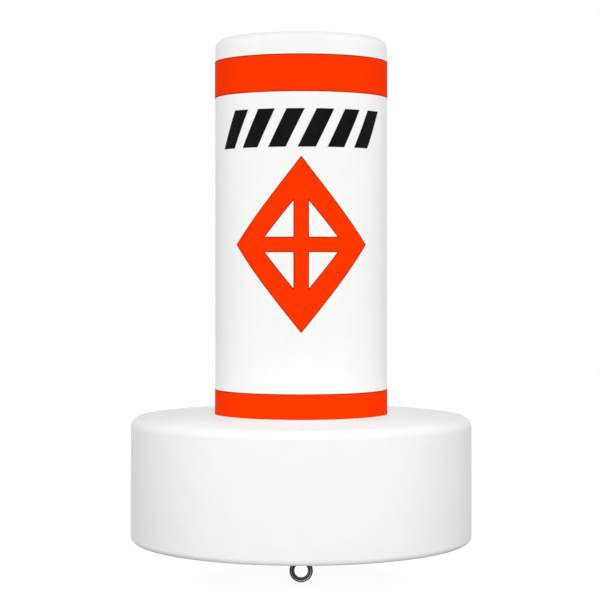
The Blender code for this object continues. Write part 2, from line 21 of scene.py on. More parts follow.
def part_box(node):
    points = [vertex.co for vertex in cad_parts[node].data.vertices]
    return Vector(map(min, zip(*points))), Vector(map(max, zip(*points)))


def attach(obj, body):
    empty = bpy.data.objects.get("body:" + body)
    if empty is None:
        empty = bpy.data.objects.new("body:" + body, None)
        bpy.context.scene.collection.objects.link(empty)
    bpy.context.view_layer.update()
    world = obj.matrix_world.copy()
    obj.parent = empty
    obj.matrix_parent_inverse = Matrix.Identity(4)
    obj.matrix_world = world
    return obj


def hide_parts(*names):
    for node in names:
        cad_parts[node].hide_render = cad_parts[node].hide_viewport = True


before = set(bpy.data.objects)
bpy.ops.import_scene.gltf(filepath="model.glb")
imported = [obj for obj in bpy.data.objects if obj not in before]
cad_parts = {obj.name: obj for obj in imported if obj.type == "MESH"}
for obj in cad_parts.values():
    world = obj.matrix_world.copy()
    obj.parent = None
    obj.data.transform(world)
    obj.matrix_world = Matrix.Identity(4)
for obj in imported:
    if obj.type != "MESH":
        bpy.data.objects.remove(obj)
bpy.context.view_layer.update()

Point = tuple[float, float]
Profile = list[Point]
Span = tuple[float, float]
Axis = tuple[float, float, float]
Colour = tuple[float, float, float]

BODY = "root"
FULL_TURN = math.tau
WELD_DISTANCE = 0.000001
SHARP_ANGLE = math.radians(32.0)
FLAT_LAYER = "tape"
RIM_LAYER = "rim"
PLUGS = ("collar_fill_plug", "collar_vent_plug")

# Where a pattern's values lie: smooth noise hardly leaves the middle
NOISE_SPREAD = (0.3, 0.7)
WHOLE_SPREAD = (0.0, 1.0)

# Facets round pieces of different girth, and in their rounded edges
BODY_STEPS = 192
PLATE_STEPS = 128
SMALL_STEPS = 48
ROUND_STEPS = 8
FINE_ROUND_STEPS = 3

log = logging.getLogger("float_collar_buoy")


class Slot(Enum):
    """The record's material slots."""

    WHITE_POLYETHYLENE = "white_polyethylene"
    GREY_POLYETHYLENE = "grey_polyethylene"
    ORANGE_TAPE = "orange_tape"
    BLACK_VINYL = "black_vinyl"
    RIGID_FOAM = "rigid_foam"
    CONCRETE = "concrete"
    SEALING_RUBBER = "sealing_rubber"
    GALVANISED_STEEL = "galvanised_steel"
    FORGED_STEEL = "forged_steel"


class Side(Enum):
    """The two sides of the column that carry markings, with the turn from the front to each."""

    FRONT = 0.0
    REAR = math.pi

    @property
    def word(self) -> str:
        """The side's name as the nodes spell it."""
        return self.name.lower()


class Shape(Enum):
    """What a Boolean makes of two closed meshes."""

    CUT = "DIFFERENCE"
    JOIN = "UNION"
    TRIM = "INTERSECT"


class Graph:
    """A material's nodes, with short calls for the few kinds that the finishes use."""

    def __init__(self, name: str) -> None:
        """Start a material with one Principled BSDF.

        Args:
            name: the material's name.
        """
        self.material = bpy.data.materials.new(name)
        self.material.use_nodes = True
        self.tree = self.material.node_tree
        self.shader = self.tree.nodes["Principled BSDF"]

    def add(self, kind: str, inputs: dict[str | int, object], **settings: object) -> Node:
        """Add a node.

        Args:
            kind: the node's type.
            inputs: a value or an output socket for each input that isn't left as it is.
            settings: the node's own properties.

        Returns:
            The new node.
        """
        node = self.tree.nodes.new(kind)
        for setting, value in settings.items():
            setattr(node, setting, value)
        for socket, value in inputs.items():
            self.feed(node, socket, value)
        return node

    def feed(self, node: Node, socket: str | int, value: object) -> None:
        """Set an input to a value, or link it to an output socket.

        Args:
            node: the node that has the input.
            socket: the input's name or number.
            value: the value or the output socket.
        """
        if isinstance(value, NodeSocket):
            self.tree.links.new(value, node.inputs[socket])
        else:
            node.inputs[socket].default_value = value

    def place(self, shift: float = 0.0) -> NodeSocket:
        """The piece's own coordinates in metres, shifted so that patterns differ.

        Args:
            shift: how far the pattern is moved along each axis.

        Returns:
            The shifted coordinates.
        """
        coordinates = self.add("ShaderNodeTexCoord", {})
        inputs = {"Vector": coordinates.outputs["Object"], "Location": (shift, shift, shift)}
        return self.add("ShaderNodeMapping", inputs).outputs["Vector"]

    def reckon(self, operation: str, first: object, second: object = 0.0) -> NodeSocket:
        """What a math node makes of one or two numbers."""
        return self.add("ShaderNodeMath", {0: first, 1: second}, operation=operation).outputs[0]

    def mix(self, share: object, low: object, high: object) -> NodeSocket:
        """A blend of two colours, at the numbers that a mix node's colour sockets have."""
        inputs = {0: share, 6: low, 7: high}
        return self.add("ShaderNodeMix", inputs, data_type="RGBA").outputs[2]

    def noise(self, grain: float, detail: float = 2.0, shift: float = 0.0) -> NodeSocket:
        """Smooth noise whose lumps are about a grain across, in metres."""
        inputs = {"Vector": self.place(shift=shift), "Scale": 1.0 / grain, "Detail": detail}
        return self.add("ShaderNodeTexNoise", inputs).outputs[0]

    def between(
        self, value: NodeSocket, low: float, high: float, spread: Span = NOISE_SPREAD
    ) -> NodeSocket:
        """Map a pattern's spread to a range from low to high.

        Args:
            value: the pattern.
            low: what the spread's lower end becomes.
            high: what its upper end becomes.
            spread: where the pattern's own values lie.

        Returns:
            The mapped value.
        """
        inputs = {
            "Value": value,
            "From Min": spread[0],
            "From Max": spread[1],
            "To Min": low,
            "To Max": high,
        }
        return self.add("ShaderNodeMapRange", inputs).outputs["Result"]

    def tint(
        self, value: NodeSocket, colour: Colour, tones: Span, spread: Span = NOISE_SPREAD
    ) -> NodeSocket:
        """Map a pattern's spread to a range of tones of a colour.

        Args:
            value: the pattern.
            colour: the colour that the tones are made from.
            tones: the factors at the spread's two ends.
            spread: where the pattern's own values lie.

        Returns:
            The mapped colour.
        """
        ramp = self.add("ShaderNodeValToRGB", {"Fac": value})
        for stop, place, tone in zip(ramp.color_ramp.elements, spread, tones):
            stop.position = place
            stop.color = (*shade(colour, tone), 1.0)
        return ramp.outputs["Color"]

    def bump(self, height: NodeSocket, depth: float, under: NodeSocket | None = None) -> NodeSocket:
        """Relief of a given depth in metres, on top of another relief if one is given.

        Args:
            height: the pattern that gives the relief.
            depth: how deep it is.
            under: the relief that it lies on.

        Returns:
            The changed normal.
        """
        inputs = {"Height": height, "Distance": depth}
        if under is not None:
            inputs["Normal"] = under
        return self.add("ShaderNodeBump", inputs).outputs["Normal"]

    def dress(self, **inputs: object) -> Material:
        """Feed the shader, whose inputs are named in small letters, and return the material.

        Args:
            inputs: the inputs and what each of them gets.

        Returns:
            The finished material.
        """
        for name, value in inputs.items():
            if isinstance(value, tuple) and len(value) == 3:
                value = (*value, 1.0)
            self.feed(self.shader, name.replace("_", " ").title().replace("Ior", "IOR"), value)
        return self.material


def shade(colour: Colour, factor: float) -> Colour:
    """A lighter or darker tone of a colour."""
    return tuple(min(1.0, channel * factor) for channel in colour)


@dataclass(frozen=True)
class Polyethylene:
    """Rotomoulded polyethylene: a satin skin with orange peel, shrink waves and faint mottling."""

    slot: Slot
    colour: Colour
    roughness: Span = (0.46, 0.54)
    specular: float = 0.04
    cloud_grain: float = 0.05
    cloud_tones: Span = (0.978, 1.0)
    peel_grain: float = 0.0045
    peel_depth: float = 0.00012
    wave_grain: float = 0.09
    wave_depth: float = 0.0012

    @functools.cache
    def material(self) -> Material:
        """The skin as a material.

        Returns:
            The material, made once for each finish.
        """
        graph = Graph(self.slot.value)
        clouds = graph.noise(self.cloud_grain, detail=5.0)
        waves = graph.bump(graph.noise(self.wave_grain, shift=3.0), self.wave_depth)
        peel = graph.bump(graph.noise(self.peel_grain, shift=7.0), self.peel_depth, waves)
        return graph.dress(
            base_color=graph.tint(clouds, self.colour, self.cloud_tones),
            roughness=graph.between(clouds, *self.roughness),
            specular_ior_level=self.specular,
            normal=peel,
        )


@dataclass(frozen=True)
class ReflectiveTape:
    """Retroreflective tape: a fine diamond lattice of sealed cells, darker along its rim."""

    slot: Slot
    colour: Colour
    rim_tone: float = 0.42
    roughness: Span = (0.41, 0.50)
    specular: float = 0.002
    cell: float = 0.0046
    seam_width: float = 0.06
    seam_tone: float = 0.93
    seam_depth: float = 0.00002
    press_grain: float = 0.03
    press_depth: float = 0.0002

    @functools.cache
    def material(self) -> Material:
        """The tape as a material that reads the tape's own flat coordinates.

        Returns:
            The material, made once.
        """
        graph = Graph(self.slot.value)
        flat = graph.add("ShaderNodeUVMap", {}, uv_map=FLAT_LAYER)
        lattice = {
            "Vector": flat.outputs["UV"],
            "Rotation": (0.0, 0.0, math.pi / 4),
            "Scale": (1.0 / self.cell, 1.0 / self.cell, 1.0),
        }
        place = graph.add("ShaderNodeMapping", lattice).outputs["Vector"]
        axes = graph.add("ShaderNodeSeparateXYZ", {"Vector": place})
        runs = [graph.reckon("PINGPONG", axes.outputs[axis], 0.5) for axis in ("X", "Y")]
        nearest = graph.reckon("MINIMUM", *runs)
        cells = graph.between(nearest, 0.0, 1.0, (0.0, self.seam_width))
        face = graph.tint(cells, self.colour, (self.seam_tone, 1.0), WHOLE_SPREAD)
        rim = graph.add("ShaderNodeAttribute", {}, attribute_name=RIM_LAYER)
        rim_colour = (*shade(self.colour, self.rim_tone), 1.0)
        pressing = graph.noise(self.press_grain, detail=3.0)
        pressed = graph.bump(pressing, self.press_depth)
        return graph.dress(
            base_color=graph.mix(rim.outputs["Fac"], face, rim_colour),
            roughness=graph.between(pressing, *self.roughness),
            specular_ior_level=self.specular,
            normal=graph.bump(cells, self.seam_depth, pressed),
        )


@dataclass(frozen=True)
class CutVinyl:
    """Black cut vinyl, pressed down by hand so that its gloss is a little uneven."""

    slot: Slot
    colour: Colour
    tones: Span = (1.0, 1.5)
    roughness: Span = (0.42, 0.56)
    specular: float = 0.01
    press_grain: float = 0.018
    press_depth: float = 0.00015

    @functools.cache
    def material(self) -> Material:
        """The vinyl as a material.

        Returns:
            The material, made once.
        """
        graph = Graph(self.slot.value)
        pressing = graph.noise(self.press_grain, detail=3.0)
        return graph.dress(
            base_color=graph.tint(pressing, self.colour, self.tones),
            roughness=graph.between(pressing, *self.roughness),
            specular_ior_level=self.specular,
            normal=graph.bump(pressing, self.press_depth),
        )


@dataclass(frozen=True)
class Galvanised:
    """Hot-dip galvanised steel: a spangle of zinc crystals, each with its own tone and gloss."""

    slot: Slot
    colour: Colour
    crystal: float = 0.012
    crystal_tones: Span = (0.78, 1.18)
    crystal_depth: float = 0.00003
    roughness: Span = (0.32, 0.54)
    drip_grain: float = 0.02
    drip_depth: float = 0.0003

    @functools.cache
    def material(self) -> Material:
        """The zinc as a material.

        Returns:
            The material, made once for each size of crystal.
        """
        graph = Graph(f"{self.slot.value}_{round(self.crystal * 1000)}")
        inputs = {"Vector": graph.place(), "Scale": 1.0 / self.crystal}
        crystals = graph.add("ShaderNodeTexVoronoi", inputs)
        parts = graph.add("ShaderNodeSeparateColor", {"Color": crystals.outputs["Color"]})
        tone, gloss = parts.outputs["Red"], parts.outputs["Green"]
        drips = graph.noise(self.drip_grain, detail=4.0, shift=5.0)
        return graph.dress(
            base_color=graph.tint(tone, self.colour, self.crystal_tones, WHOLE_SPREAD),
            roughness=graph.between(gloss, *self.roughness, WHOLE_SPREAD),
            metallic=1.0,
            normal=graph.bump(drips, self.drip_depth, graph.bump(tone, self.crystal_depth)),
        )


@dataclass(frozen=True)
class ForgedSteel:
    """Dark drop-forged steel: black scale, with two bright bands round the ring that paint its
    reflection streaks as well as rubbed scale, brighter towards the lower right as painted
    highlight and wear.
    """

    slot: Slot
    colour: Colour
    # Colour of the painted reflection streaks, which also stands for bare steel
    streak_colour: Colour = (0.54, 0.54, 0.57)
    tones: Span = (0.7, 1.2)
    roughness: Span = (0.46, 0.29)
    specular: float = 0.05
    scale_grain: float = 0.006
    scale_depth: float = 0.00018
    pit_grain: float = 0.0007
    pit_depth: float = 0.00002
    # Where the painted reflection streaks lie round the stock; they also stand for rubbed scale
    inner_band: float = 0.0158
    outer_band: float = 0.0205
    band_width: float = 0.0024
    inner_share: float = 0.85
    # Painted highlight as well as wear: the streaks grow brighter towards the lower right
    worn_and_lit_side: Axis = (0.42, 0.0, -0.91)
    worn_and_lit_from: float = 0.002
    worn_and_lit_to: float = 0.021
    least_wear_and_sheen: float = 0.42

    @functools.cache
    def material(self) -> Material:
        """The forging as a material.

        Returns:
            The material, made once.
        """
        graph = Graph(self.slot.value)
        scale = graph.noise(self.scale_grain, detail=5.0)
        pits = graph.noise(self.pit_grain, shift=2.0)
        # Painted reflection: two bright streaks round the stock, which also stand for rubbed scale
        streaks_and_rubbing = graph.reckon(
            "MAXIMUM",
            self.band(graph, self.outer_band, 1.0),
            self.band(graph, self.inner_band, self.inner_share),
        )
        # Painted highlight as well as wear where the eye drags: brighter towards the lower right
        towards = {0: graph.place(), 1: self.worn_and_lit_side}
        depth = graph.add("ShaderNodeVectorMath", towards, operation="DOT_PRODUCT")
        span = (self.worn_and_lit_from, self.worn_and_lit_to)
        sheen_and_wear = graph.between(depth.outputs["Value"], self.least_wear_and_sheen, 1.0, span)
        streak_and_bare_share = graph.reckon("MULTIPLY", streaks_and_rubbing, sheen_and_wear)
        dark = graph.tint(scale, self.colour, self.tones)
        return graph.dress(
            base_color=graph.mix(streak_and_bare_share, dark, (*self.streak_colour, 1.0)),
            roughness=graph.between(scale, *self.roughness),
            metallic=streak_and_bare_share,
            specular_ior_level=self.specular,
            normal=graph.bump(pits, self.pit_depth, graph.bump(scale, self.scale_depth)),
        )

    def band(self, graph: Graph, middle: float, share: float) -> NodeSocket:
        """How bright a band at a given distance from the ring's axis is: a painted reflection
        streak as well as rubbed scale.

        Args:
            graph: the material's nodes.
            middle: the band's distance from the ring's axis.
            share: how bright and bare the steel is in the middle of the band.

        Returns:
            How bright and bare the steel is; the brightness is a painted reflection streak.
        """
        across = {0: graph.place(), 1: (1.0, 0.0, 1.0)}
        level = graph.add("ShaderNodeVectorMath", across, operation="MULTIPLY")
        reach = graph.add("ShaderNodeVectorMath", {0: level.outputs[0]}, operation="LENGTH")
        off = graph.reckon("SUBTRACT", reach.outputs["Value"], middle)
        fade = (self.band_width / 5, self.band_width / 2)
        return graph.between(graph.reckon("ABSOLUTE", off), share, 0.0, fade)


@dataclass(frozen=True)
class Granular:
    """A dull body with grains and pores: rubber sheet, rigid foam or cast concrete."""

    slot: Slot
    colour: Colour
    grain: float
    relief: float
    tones: Span
    roughness: Span = (0.77, 0.91)
    grains_per_cloud: float = 9.0

    @functools.cache
    def material(self) -> Material:
        """The body as a material.

        Returns:
            The material, made once for each body.
        """
        graph = Graph(self.slot.value)
        clouds = graph.noise(self.grain * self.grains_per_cloud, detail=6.0)
        inputs = {"Vector": graph.place(shift=1.0), "Scale": 1.0 / self.grain}
        grains = graph.add("ShaderNodeTexVoronoi", inputs)
        return graph.dress(
            base_color=graph.tint(clouds, self.colour, self.tones),
            roughness=graph.between(clouds, *self.roughness),
            normal=graph.bump(grains.outputs["Distance"], self.relief),
        )


Finish = Polyethylene | ReflectiveTape | CutVinyl | Galvanised | ForgedSteel | Granular

WHITE_SKIN = Polyethylene(Slot.WHITE_POLYETHYLENE, (0.87, 0.87, 0.865))
GREY_SKIN = Polyethylene(Slot.GREY_POLYETHYLENE, (0.30, 0.31, 0.32), roughness=(0.42, 0.50))
ORANGE_TAPE = ReflectiveTape(Slot.ORANGE_TAPE, (0.95, 0.036, 0.0))
BLACK_VINYL = CutVinyl(Slot.BLACK_VINYL, (0.006, 0.006, 0.0065))
PLATE_ZINC = Galvanised(Slot.GALVANISED_STEEL, (0.52, 0.53, 0.55))
FASTENER_ZINC = Galvanised(
    Slot.GALVANISED_STEEL, (0.50, 0.51, 0.53), crystal=0.003, roughness=(0.28, 0.50)
)
DARK_FORGING = ForgedSteel(Slot.FORGED_STEEL, (0.010, 0.010, 0.011))
RUBBER = Granular(
    Slot.SEALING_RUBBER, (0.02, 0.02, 0.02), 0.0006, 0.00003, (0.75, 1.25), roughness=(0.62, 0.76)
)
FOAM = Granular(Slot.RIGID_FOAM, (0.72, 0.55, 0.28), 0.0012, 0.0004, (0.90, 1.10))
CONCRETE = Granular(Slot.CONCRETE, (0.34, 0.33, 0.31), 0.004, 0.0006, (0.84, 1.16))


def arc(
    centre: Point, radius: float, start: float, end: float, steps: int = ROUND_STEPS
) -> Profile:
    """Points on an arc.

    Args:
        centre: the arc's centre.
        radius: its radius.
        start: the angle of its first point, in degrees from the outward direction.
        end: the angle of its last point.
        steps: how many chords stand for it.

    Returns:
        The points from start to end, both included.
    """
    angles = [math.radians(start + (end - start) * step / steps) for step in range(steps + 1)]
    return [(centre[0] + radius * math.cos(a), centre[1] + radius * math.sin(a)) for a in angles]


def rounded_plate(outer: float, hole: float, bottom: float, top: float, edge: float) -> Profile:
    """The profile of a flat ring with its outer edges rounded.

    Args:
        outer: the ring's radius.
        hole: the radius of its hole.
        bottom: the height of its lower face.
        top: the height of its upper face.
        edge: the radius of its rounded edges.

    Returns:
        A closed profile.
    """
    return [
        (hole, bottom),
        *arc((outer - edge, bottom + edge), edge, -90.0, 0.0, FINE_ROUND_STEPS),
        *arc((outer - edge, top - edge), edge, 0.0, 90.0, FINE_ROUND_STEPS),
        (hole, top),
    ]


def turned(profile: Profile, steps: int) -> BMesh:
    """Turn a profile about the Z axis.

    Args:
        profile: its points. One that begins and ends on the axis stays open there.
        steps: how many facets go round.

    Returns:
        A closed mesh with its faces pointing out.
    """
    bm = bmesh.new()
    verts = [bm.verts.new((radius, 0.0, height)) for radius, height in profile]
    for pair in zip(verts, verts[1:]):
        bm.edges.new(pair)
    if profile[0][0] > 0.0:
        bm.edges.new((verts[-1], verts[0]))
    return spun(bm, (0.0, 0.0, 1.0), steps)


def spun(bm: BMesh, axis: Axis, steps: int) -> BMesh:
    """Spin an outline once round an axis through the origin, close the seam and return it.

    Args:
        bm: the mesh that holds the outline. It is changed in place.
        axis: the axis's direction.
        steps: how many facets go round.

    Returns:
        The same mesh, with its faces pointing out.
    """
    bmesh.ops.spin(
        bm,
        geom=bm.verts[:] + bm.edges[:],
        cent=(0.0, 0.0, 0.0),
        axis=axis,
        angle=FULL_TURN,
        steps=steps,
        use_merge=True,
    )
    bmesh.ops.remove_doubles(bm, verts=bm.verts, dist=WELD_DISTANCE)
    bmesh.ops.recalc_face_normals(bm, faces=bm.faces)
    return bm


def slice_at(bm: BMesh, axis: Axis, distance: float) -> None:
    """Cut a mesh's faces along the plane square to an axis, at a distance from the origin.

    Args:
        bm: the mesh, which is changed in place.
        axis: the direction that the plane is square to.
        distance: how far the plane lies from the origin.
    """
    bmesh.ops.bisect_plane(
        bm,
        geom=bm.verts[:] + bm.edges[:] + bm.faces[:],
        dist=WELD_DISTANCE,
        plane_co=distance * Vector(axis),
        plane_no=axis,
    )


def upright_bar(
    radius: float, bottom: float, top: float, steps: int, centre: Point = (0.0, 0.0)
) -> BMesh:
    """An upright cylinder or prism.

    Args:
        radius: its radius over the corners.
        bottom: the height of its foot.
        top: the height of its head.
        steps: how many sides it has.
        centre: where it stands.

    Returns:
        Its mesh.
    """
    bm = bmesh.new()
    bmesh.ops.create_cone(
        bm, cap_ends=True, segments=steps, radius1=radius, radius2=radius, depth=top - bottom
    )
    bmesh.ops.translate(bm, verts=bm.verts, vec=(*centre, (top + bottom) / 2))
    return bm


def mesh_of(name: str, bm: BMesh) -> Mesh:
    """A mesh that holds what a bmesh held. The bmesh is freed.

    Args:
        name: the mesh's name.
        bm: what it is made from. It is freed.

    Returns:
        The mesh.
    """
    mesh = bpy.data.meshes.new(name)
    bm.to_mesh(mesh)
    bm.free()
    return mesh


def placed(name: str, data: ID) -> Object:
    """A new object in the scene.

    Args:
        name: the object's name.
        data: the mesh, lamp or camera that it holds.

    Returns:
        The object.
    """
    obj = bpy.data.objects.new(name, data)
    bpy.context.scene.collection.objects.link(obj)
    return obj


def temporary(bm: BMesh) -> Object:
    """An object that holds a mesh while modifiers work on it. The mesh given is freed."""
    return placed("blank", mesh_of("blank", bm))


def taken_from(obj: Object) -> BMesh:
    """The mesh that a temporary object's modifiers make. The object is removed.

    Args:
        obj: the object. It is removed with its mesh.

    Returns:
        The finished mesh.
    """
    bpy.context.view_layer.update()
    bm = bmesh.new()
    bm.from_object(obj, bpy.context.evaluated_depsgraph_get())
    mesh = obj.data
    bpy.data.objects.remove(obj)
    bpy.data.meshes.remove(mesh)
    return bm


def combined(target: BMesh, tool: BMesh, shape: Shape) -> BMesh:
    """Combine two closed meshes.

    Args:
        target: the mesh that is worked on. It is freed.
        tool: the mesh that works on it. It is freed.
        shape: what is made of the two.

    Returns:
        The combined mesh.
    """
    work, cutter = temporary(target), temporary(tool)
    modifier = work.modifiers.new("combine", "BOOLEAN")
    modifier.operation = shape.value
    modifier.solver = "EXACT"
    modifier.object = cutter
    result = taken_from(work)
    taken_from(cutter).free()
    return result


def eased(bm: BMesh, width: float) -> BMesh:
    """Round every sharp edge of a mesh.

    Args:
        bm: the mesh. It is freed.
        width: how far from the edge the rounding begins.

    Returns:
        The rounded mesh.
    """
    work = temporary(bm)
    modifier = work.modifiers.new("ease", "BEVEL")
    modifier.width = width
    modifier.segments = 2
    modifier.limit_method = "ANGLE"
    modifier.angle_limit = SHARP_ANGLE
    return taken_from(work)


def moved(bm: BMesh, x: float, y: float, z: float) -> BMesh:
    """Move a mesh and return it."""
    bmesh.ops.translate(bm, verts=bm.verts, vec=(x, y, z))
    return bm


def show(name: str, bm: BMesh, finish: Finish, *nodes: str) -> Object:
    """Make a mesh a visible piece of the buoy.

    Args:
        name: the piece's name.
        bm: its mesh, at its own place in the frame. It is freed.
        finish: what it is dressed in.
        nodes: the nodes of the frame that it stands for.

    Returns:
        The piece, riding on the buoy's body.
    """
    mesh = mesh_of(name, bm)
    mesh.shade_smooth()
    mesh.set_sharp_from_angle(angle=SHARP_ANGLE)
    piece = placed(name, mesh)
    weighted = piece.modifiers.new("flat_faces_stay_flat", "WEIGHTED_NORMAL")
    weighted.keep_sharp = True
    mesh.materials.append(finish.material())
    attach(piece, BODY)
    if nodes:
        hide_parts(*nodes)
    log.info("%s: %d faces, for %s", name, len(mesh.polygons), ", ".join(nodes) or "looks alone")
    return piece


def dress_nodes(finish: Finish, *nodes: str) -> None:
    """Give nodes of the frame that stay as they are a better material.

    Args:
        finish: what they are dressed in.
        nodes: the nodes' names.
    """
    for node in nodes:
        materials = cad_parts[node].data.materials
        materials.clear()
        materials.append(finish.material())
        log.info("%s: dressed in %s", node, finish.slot.value)


def node_radius(node: str) -> float:
    """Half of a node's width along X."""
    low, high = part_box(node)
    return (high.x - low.x) / 2


def node_centre(node: str) -> Point:
    """The middle of a node of the frame, seen from above."""
    low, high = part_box(node)
    return (low.x + high.x) / 2, (low.y + high.y) / 2


@dataclass
class Column:
    """The upright moulding: a closed cylinder whose spigot stands in the collar."""

    length: float = 0.7982
    wall: float = 0.006
    top_round: float = 0.018
    edge_chamfer: float = 0.002
    spigot_radius: float = 0.150
    lip_width: float = 0.019
    parting_drop: float = 0.0275
    parting_width: float = 0.0008
    parting_depth: float = 0.0003

    def __post_init__(self) -> None:
        """Read the moulding's outer sizes from the frame."""
        low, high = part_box("column_shell")
        self.radius = high.x
        self.foot = low.z
        self.top = high.z
        self.shoulder = self.top - self.length

    def profile(self) -> Profile:
        """The section of the moulding, from the middle of its top round to the inside.

        Returns:
            A profile that begins and ends on the axis.
        """
        edge = self.edge_chamfer
        inner = self.radius - self.wall
        spigot_inner = self.spigot_radius - self.wall
        inner_round = self.top_round - self.wall
        parting = self.top - self.parting_drop
        half = self.parting_width / 2
        top_centre = (self.radius - self.top_round, self.top - self.top_round)
        return [
            (0.0, self.top),
            *arc(top_centre, self.top_round, 90.0, 0.0),
            (self.radius, parting + half),
            (self.radius - self.parting_depth, parting),
            (self.radius, parting - half),
            (self.radius, self.shoulder + edge),
            (self.radius - edge, self.shoulder),
            (self.spigot_radius, self.shoulder),
            (self.spigot_radius, self.foot + edge),
            (self.spigot_radius - edge, self.foot),
            (spigot_inner - self.lip_width, self.foot),
            (spigot_inner - self.lip_width, self.foot + self.wall),
            (spigot_inner, self.foot + self.wall),
            (spigot_inner, self.shoulder + self.wall),
            (inner, self.shoulder + self.wall),
            *arc((inner - inner_round, self.top - self.top_round), inner_round, 0.0, 90.0),
            (0.0, self.top - self.wall),
        ]

    def build(self) -> None:
        """Make the moulding and dress what it holds."""
        show("column_moulding", turned(self.profile(), BODY_STEPS), WHITE_SKIN, "column_shell")
        dress_nodes(FOAM, "column_foam")
        dress_nodes(CONCRETE, "column_ballast")


@dataclass
class Collar:
    """The float collar: a hollow ring with a crowned top, a seat for the column and two plugs."""

    crown: float = 0.0063
    wall: float = 0.0065
    top_round: float = 0.019
    foot_round: float = 0.012
    seat_depth: float = 0.0277
    seat_clearance: float = 0.0008
    lip_round: float = 0.002
    bore_radius: float = 0.1506
    thread_gap: float = 0.0003
    plug_flange: float = 0.007
    plug_flange_thickness: float = 0.005
    plug_edge: float = 0.0012
    grip_share: float = 0.6
    grip_depth: float = 0.003
    insert_count: int = 4

    def __post_init__(self) -> None:
        """Read the ring's outer sizes from the frame."""
        low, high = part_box("collar_shell")
        self.radius = high.x
        self.underside = low.z
        self.top = high.z
        self.seat_radius = node_radius("lower_band") + self.seat_clearance

    def outside(self) -> Profile:
        """The closed section of the ring's outer faces.

        Returns:
            A closed profile.
        """
        rim = (self.radius - self.top_round, self.top - self.crown - self.top_round)
        foot = (self.radius - self.foot_round, self.underside + self.foot_round)
        lip = (self.seat_radius + self.lip_round, self.top - self.lip_round)
        return [
            (self.bore_radius, self.underside),
            *arc(foot, self.foot_round, -90.0, 0.0),
            *arc(rim, self.top_round, 0.0, 90.0),
            *arc(lip, self.lip_round, 90.0, 180.0, FINE_ROUND_STEPS),
            (self.seat_radius, self.top - self.seat_depth),
            (self.bore_radius, self.top - self.seat_depth),
        ]

    def hollow(self) -> Profile:
        """The closed section of the hollow that the foam fills.

        Returns:
            A closed profile.
        """
        foot_round = self.foot_round - self.wall
        top_round = self.top_round - self.wall
        outer = self.radius - self.wall
        foot = self.underside + self.wall
        rim = self.top - self.crown - self.wall
        seat = (self.seat_radius + self.wall, self.top - self.seat_depth - self.wall)
        bore = self.bore_radius + self.wall
        return [
            (bore, foot),
            (outer - foot_round, foot),
            (outer, foot + foot_round),
            *arc((outer - top_round, rim - top_round), top_round, 0.0, 90.0),
            (seat[0], self.top - self.wall),
            seat,
            (bore, seat[1]),
        ]

    def hole(self, node: str, clearance: float) -> BMesh:
        """A cutter for the hole that a node of the frame sits in.

        Args:
            node: the node's name.
            clearance: how much wider than the node the hole is, in radius.

        Returns:
            The cutter.
        """
        low, high = self.underside - self.wall, self.underside + 2 * self.wall
        radius = node_radius(node) + clearance
        return upright_bar(radius, low, high, SMALL_STEPS, node_centre(node))

    def build(self) -> None:
        """Make the ring with its holes, and dress what it holds."""
        shell = combined(
            turned(self.outside(), BODY_STEPS), turned(self.hollow(), BODY_STEPS), Shape.CUT
        )
        for node in PLUGS:
            shell = combined(shell, self.hole(node, self.thread_gap - self.plug_flange), Shape.CUT)
        inserts = [f"threaded_insert_{index + 1}" for index in range(self.insert_count)]
        for node in inserts:
            shell = combined(shell, self.hole(node, self.thread_gap), Shape.CUT)
        show("collar_moulding", shell, WHITE_SKIN, "collar_shell")
        dress_nodes(FOAM, "collar_foam")
        dress_nodes(FASTENER_ZINC, *inserts)
        for node in PLUGS:
            self.build_plug(node)

    def build_plug(self, node: str) -> None:
        """Make one of the two threaded plugs in the ring's underside.

        Args:
            node: the node that the plug stands for.
        """
        low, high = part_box(node)
        flange = node_radius(node)
        body = flange - self.plug_flange
        grip = self.grip_share * body
        edge = self.plug_edge
        top = low.z + self.plug_flange_thickness
        profile = [
            (0.0, high.z),
            (body, high.z),
            (body, top),
            (flange, top),
            *arc((flange - edge, low.z + edge), edge, 0.0, -90.0, FINE_ROUND_STEPS),
            (grip + edge, low.z),
            *arc((grip + edge, low.z + edge), edge, -90.0, -180.0, FINE_ROUND_STEPS),
            (grip, low.z + self.grip_depth),
            (0.0, low.z + self.grip_depth),
        ]
        plug = moved(turned(profile, SMALL_STEPS), *node_centre(node), 0.0)
        show(f"{node}_turned", plug, GREY_SKIN, node)


